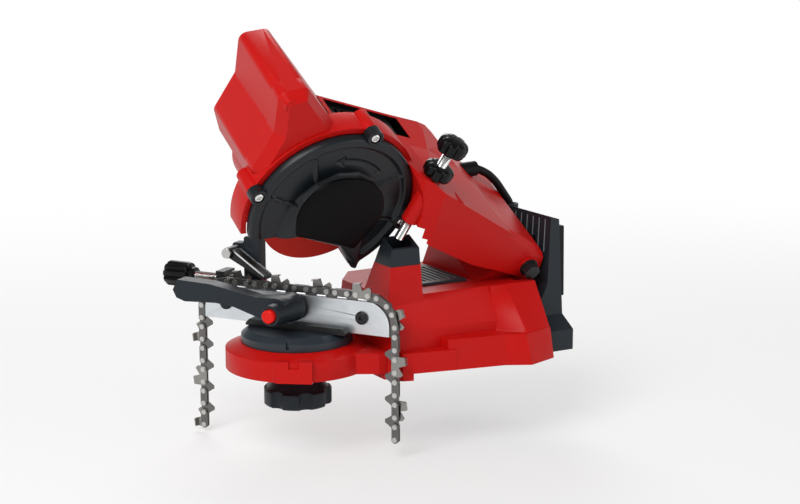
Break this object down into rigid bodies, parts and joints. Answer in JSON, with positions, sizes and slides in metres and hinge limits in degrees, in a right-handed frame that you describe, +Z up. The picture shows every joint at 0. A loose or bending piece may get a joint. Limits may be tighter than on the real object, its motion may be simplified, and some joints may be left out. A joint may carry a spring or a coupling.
{
  "type": "chainsaw sharpener",
  "caption": "Bench-mounted cordless saw chain sharpener: tilting grinding head with ruby wheel, swivelling chain vise with clamp lever, depth screw and battery holder",
  "frame": {"origin": "centre of the four bench bolt holes, on the bench plane", "axes": "+X from the vise toward the battery holder, +Y away from the operator's side, +Z up"},
  "size_m": [0.318, 0.2404, 0.3515],
  "materials": {
    "red_plastic": "satin red moulding",
    "dark_plastic": "dark grey moulding",
    "black_plastic": "black moulding",
    "button_red": "bright red",
    "plated_steel": "bright zinc plate",
    "black_steel": "black oxide",
    "turntable_metal": "grey powder coat",
    "rail_metal": "bright rolled steel",
    "chain_steel": "oiled steel",
    "cutter_steel": "chrome plated",
    "wheel_grit": "ruby abrasive",
    "brass": "plain brass",
    "rubber": "black rubber",
    "board": "green laminate"
  },
  "bodies": {
    "base": {"base_housing": "red_plastic", "tower_cap": "dark_plastic", "deck_cover": "dark_plastic", "base_floor": "black_plastic", "floor_screws": "plated_steel", "pivot_bushes": "brass", "battery_holder": "dark_plastic", "battery_rails": "black_plastic", "terminal_block": "black_plastic", "battery_contacts": "brass", "control_board": "board", "power_lead": "rubber", "return_spring": "plated_steel"},
    "vise": {"turntable": "turntable_metal", "turntable_stud": "plated_steel", "vise_block": "black_steel", "rail_near": "rail_metal", "rail_far": "rail_metal", "rail_screws": "black_steel", "clamp_nut": "plated_steel", "stop_bracket": "black_steel", "tie_straps": "chain_steel", "drive_links": "chain_steel", "chain_rivets": "plated_steel", "cutters_left": "cutter_steel", "cutters_right": "cutter_steel"},
    "stop_carrier": {"chain_stop_post": "dark_plastic", "pawl_pin": "plated_steel"},
    "pawl": {"chain_pawl": "black_steel"},
    "stop_screw": {"stop_rod": "plated_steel", "stop_knob": "black_plastic"},
    "lever": {"clamp_lever": "dark_plastic", "clamp_spindle": "plated_steel", "button_spring": "plated_steel"},
    "button": {"lever_button": "button_red"},
    "table_lock": {"turntable_lock_knob": "dark_plastic", "lock_knob_insert": "brass"},
    "head": {"head_shell_near": "red_plastic", "head_shell_far": "red_plastic", "disc_cover": "dark_plastic", "hub_cover": "black_plastic", "cover_screws": "plated_steel", "shell_screws": "plated_steel", "vent_grille": "black_plastic", "motor_can": "plated_steel", "motor_bearings": "plated_steel", "pivot_bolt": "black_steel", "pivot_nut": "black_steel", "switch_frame": "black_plastic", "head_lead_boot": "rubber"},
    "rocker": {"switch_rocker": "black_plastic"},
    "wheel": {"motor_shaft": "plated_steel", "rotor_core": "black_steel", "inner_flange": "plated_steel", "grinding_wheel": "wheel_grit", "outer_flange": "plated_steel", "wheel_nut": "plated_steel"},
    "depth_screw": {"depth_rod": "plated_steel"},
    "depth_star": {"depth_knob": "black_plastic"},
    "depth_lock": {"depth_lock_knob": "black_plastic"}
  },
  "joints": [
    {"name": "vise_turn", "type": "hinge", "parent": "base", "child": "vise", "pos_m": [-0.133, 0, 0.022], "axis": [0, 0, 1], "range_deg": [-70, 0]},
    {"name": "table_lock_turn", "type": "hinge", "parent": "vise", "child": "table_lock", "pos_m": [-0.133, 0, -0.02], "axis": [0, 0, 1], "range_deg": [0, 180]},
    {"name": "lever_swing", "type": "hinge", "parent": "vise", "child": "lever", "pos_m": [-0.1491, -0.01188, 0.0515], "axis": [0.8192, 0.5736, 0], "range_deg": [0, 30]},
    {"name": "button_press", "type": "slide", "parent": "lever", "child": "button", "axis": [0.8192, 0.5736, 0], "range_m": [0, 0.003], "stiffness_N_per_m": 300, "springref_m": -0.002, "deforming": ["button_spring"]},
    {"name": "stop_screw_turn", "type": "hinge", "parent": "vise", "child": "stop_screw", "pos_m": [-0.1666, 0.07414, 0.0635], "axis": [0.5736, -0.8192, 0], "range_deg": [-720, 720]},
    {"name": "stop_slide", "type": "slide", "parent": "vise", "child": "stop_carrier", "axis": [0.5736, -0.8192, 0], "range_m": [-0.0025, 0.0025]},
    {"name": "pawl_swing", "type": "hinge", "parent": "stop_carrier", "child": "pawl", "pos_m": [-0.15627, 0.05939, 0.091], "axis": [-0.8192, -0.5736, 0], "range_deg": [0, 28]},
    {"name": "head_swing", "type": "hinge", "parent": "base", "child": "head", "pos_m": [0.063, -0.01775, 0.09324], "axis": [0, -0.866, -0.5], "range_deg": [0, 8], "stiffness_Nm_per_rad": 6, "springref_deg": -40.11, "deforming": ["return_spring", "power_lead"]},
    {"name": "wheel_spin", "type": "hinge", "parent": "head", "child": "wheel", "pos_m": [-0.1318, -0.0462, 0.14252], "axis": [0, -0.866, -0.5], "continuous": true},
    {"name": "switch_press", "type": "hinge", "parent": "head", "child": "rocker", "pos_m": [-0.179, -0.01514, 0.25872], "axis": [1, 0, 0], "range_deg": [-8, 8]},
    {"name": "depth_travel", "type": "slide", "parent": "head", "child": "depth_screw", "axis": [0.247, -0.4845, 0.8392], "range_m": [0, 0.015]},
    {"name": "depth_knob_turn", "type": "hinge", "parent": "depth_screw", "child": "depth_star", "pos_m": [-0.04299, -0.10215, 0.19142], "axis": [0.247, -0.4845, 0.8392], "range_deg": [0, 4320]},
    {"name": "depth_lock_turn", "type": "hinge", "parent": "head", "child": "depth_lock", "pos_m": [-0.04879, -0.09076, 0.1717], "axis": [0.247, -0.4845, 0.8392], "range_deg": [0, 120]}
  ],
  "couplings": [
    {"joint": "stop_screw_turn", "follows": "stop_slide", "rad_per_m": 5026.5},
    {"joint": "depth_knob_turn", "follows": "depth_travel", "rad_per_m": 5026.5}
  ]
}
